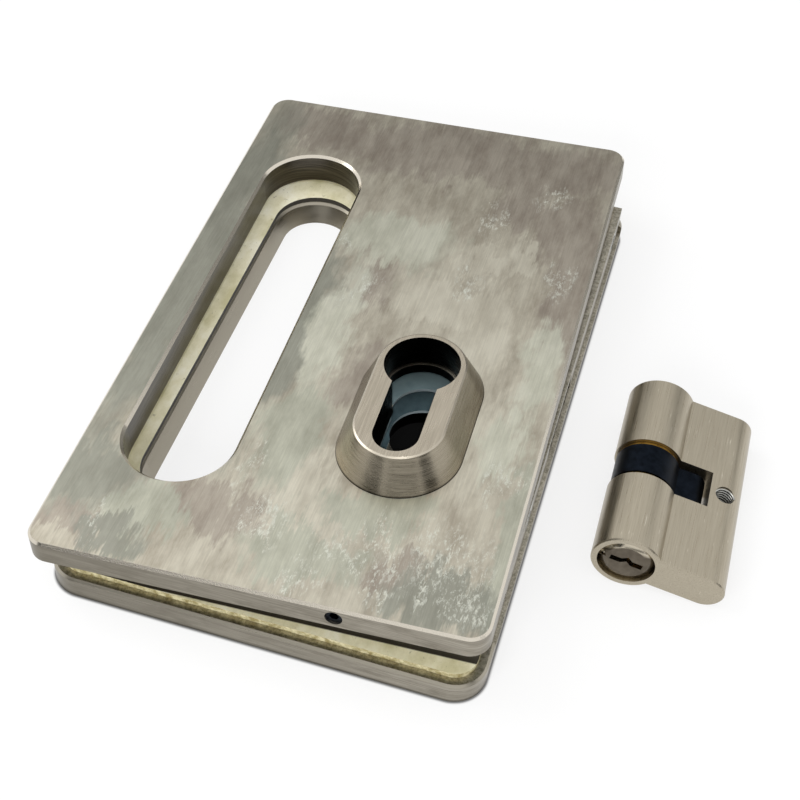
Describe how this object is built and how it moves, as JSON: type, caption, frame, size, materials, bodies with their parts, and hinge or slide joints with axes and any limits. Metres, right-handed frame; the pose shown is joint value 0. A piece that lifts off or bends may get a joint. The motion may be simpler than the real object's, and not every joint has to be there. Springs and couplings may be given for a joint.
{
  "type": "sliding glass door lock",
  "caption": "Clamp-on lock for a sliding glass door: plates with a round-ended finger pull, hook bolt case between them, tapered bezel and a separate double profile cylinder.",
  "frame": {"origin": "in the back plate's outer face, which lies on the table, in the middle of its width and halfway along the lock case", "axes": "+X towards the closing edge of the door, +Y along the plates, +Z from the back plate to the front plate"},
  "size_m": [0.1596, 0.1836, 0.0316],
  "materials": {
    "stainless_plate": "brushed stainless with cloudy patches",
    "gasket": "cream rubber sheet",
    "zinc_steel": "blue-grey zinc plated steel",
    "bright_steel": "bright steel",
    "satin_nickel": "satin nickel",
    "black_steel": "blackened steel",
    "brass": "brass",
    "spring_steel": "spring wire"
  },
  "bodies": {
    "lock": {"back_plate": "stainless_plate", "back_gasket": "gasket", "clamp_studs": "bright_steel", "lock_case": "zinc_steel", "case_cover": "zinc_steel", "case_rivets": "zinc_steel", "case_screws": "bright_steel", "detent_spring": "spring_steel", "hook_pivot_pin": "bright_steel", "forend": "stainless_plate", "forend_screws": "bright_steel"},
    "hook": {"hook_bolt": "bright_steel"},
    "cylinder_screw": {"cylinder_screw": "bright_steel"},
    "front_cover": {"front_plate": "stainless_plate", "front_gasket": "gasket", "bezel": "satin_nickel", "bezel_screws": "bright_steel", "grub_screws": "black_steel"},
    "cylinder": {"cylinder_body": "satin_nickel", "driver_pins": "brass", "driver_springs": "spring_steel", "chamber_plugs": "brass", "retaining_clips": "brass"},
    "front_plug": {"front_plug": "satin_nickel", "front_key_pins": "brass"},
    "rear_plug": {"rear_plug": "satin_nickel", "rear_key_pins": "brass"},
    "cam": {"cam": "black_steel", "cam_clutch": "bright_steel"}
  },
  "joints": [
    {"name": "hook_throw", "type": "hinge", "parent": "lock", "child": "hook", "pos_m": [0.0412, -0.017, 0.00845], "axis": [0, 0, -1], "range_deg": [0, 90]},
    {"name": "cylinder_screw_slide", "type": "slide", "parent": "lock", "child": "cylinder_screw", "axis": [1, 0, 0], "range_m": [0, 0.014]},
    {"name": "front_lift", "type": "slide", "parent": "lock", "child": "front_cover", "axis": [0, 0, 1], "range_m": [0, 0.04]},
    {"name": "cylinder_lift", "type": "slide", "parent": "lock", "child": "cylinder", "axis": [0, 0, 1], "range_m": [0, 0.03]},
    {"name": "front_plug_turn", "type": "hinge", "parent": "cylinder", "child": "front_plug", "pos_m": [0.0761, -0.0195, 0.0085], "axis": [-0.0134, 0.9999, 0], "range_deg": [0, 360]},
    {"name": "rear_plug_turn", "type": "hinge", "parent": "cylinder", "child": "rear_plug", "pos_m": [0.0761, -0.0195, 0.0085], "axis": [-0.0134, 0.9999, 0], "range_deg": [0, 360]},
    {"name": "cam_turn", "type": "hinge", "parent": "cylinder", "child": "cam", "pos_m": [0.0761, -0.0195, 0.0085], "axis": [-0.0134, 0.9999, 0], "range_deg": [0, 360]}
  ],
  "couplings": [
    {"joint": "cam_turn", "follows": "front_plug_turn", "ratio": 1}
  ]
}
